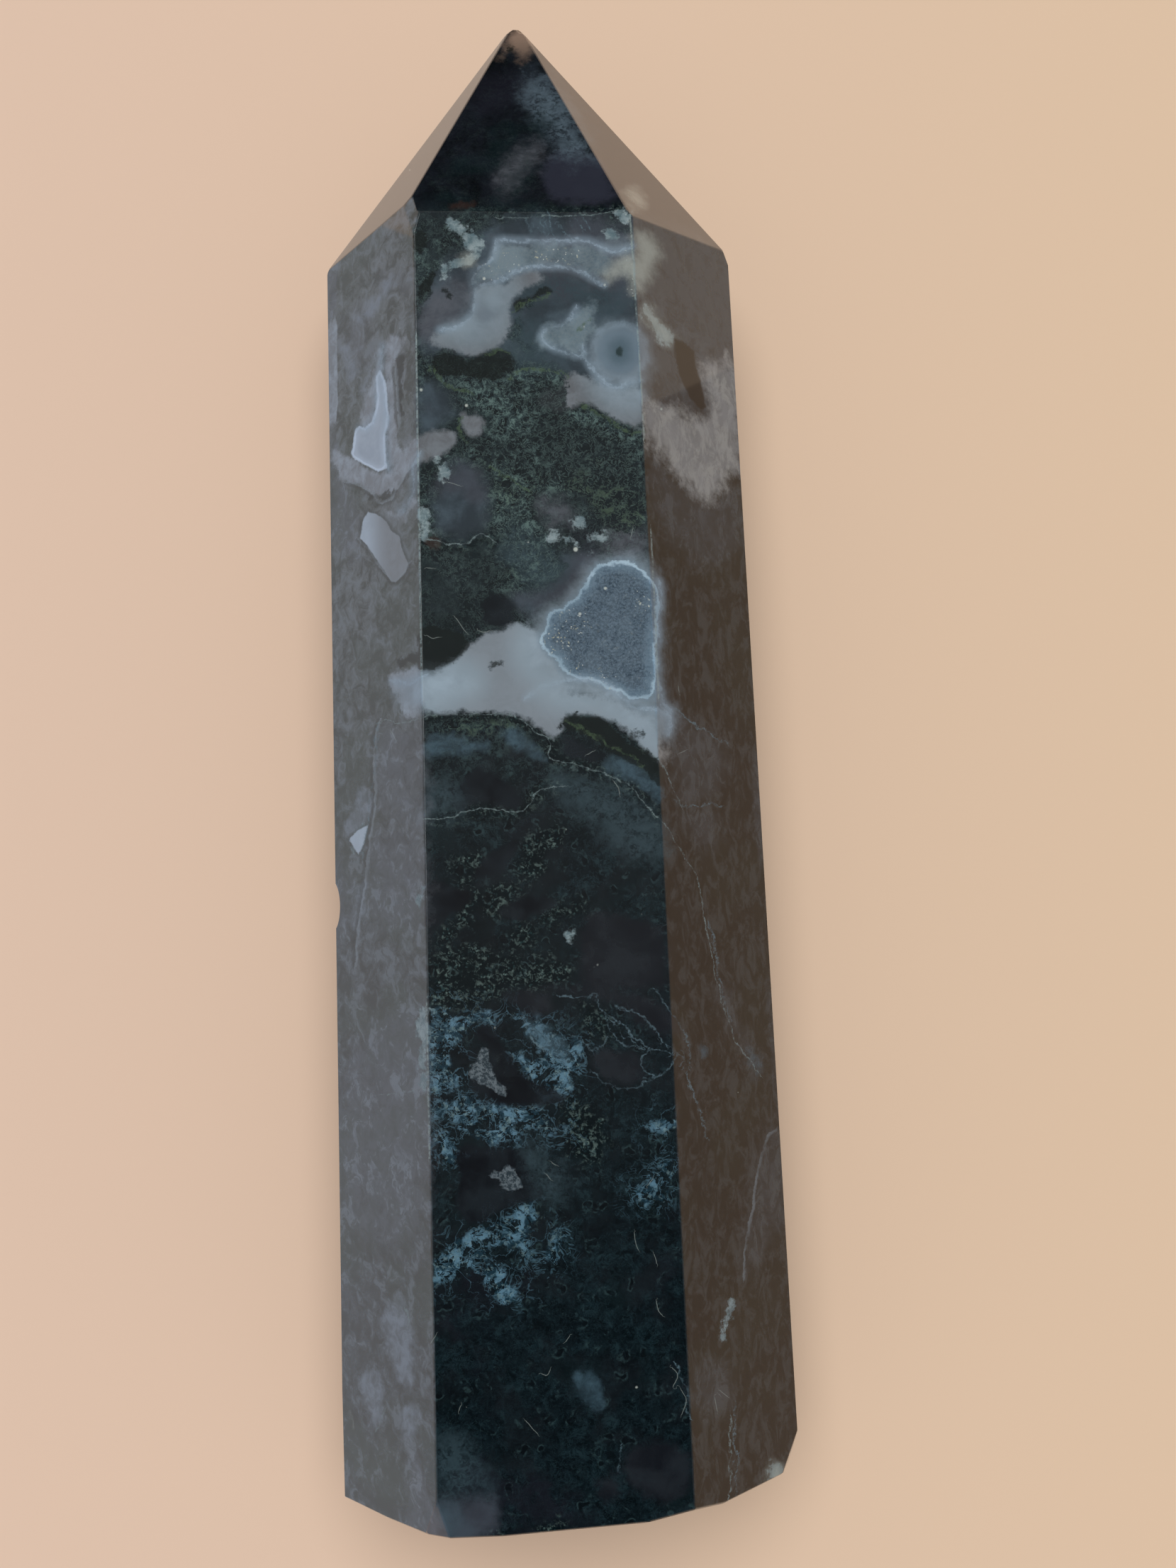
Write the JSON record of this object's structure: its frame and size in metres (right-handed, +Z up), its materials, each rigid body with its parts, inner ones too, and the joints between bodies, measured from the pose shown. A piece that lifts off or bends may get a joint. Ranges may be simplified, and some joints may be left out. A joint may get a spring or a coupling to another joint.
{
  "type": "moss agate point",
  "caption": "Polished point of moss agate: a tapering hexagonal column of dark mossy stone ending in a pyramid, lying on its side.",
  "frame": {"origin": "on the ground under the middle of the stone's bounding box", "axes": "+Y along the stone from its sawn foot towards its tip, +Z up, +X to the right seen from above with the tip away"},
  "size_m": [0.029, 0.0958, 0.0276],
  "materials": {
    "agate": "polished dark moss agate with milky blue-grey chalcedony and green moss"
  },
  "bodies": {
    "root": {"moss_agate": "agate"}
  },
  "joints": []
}
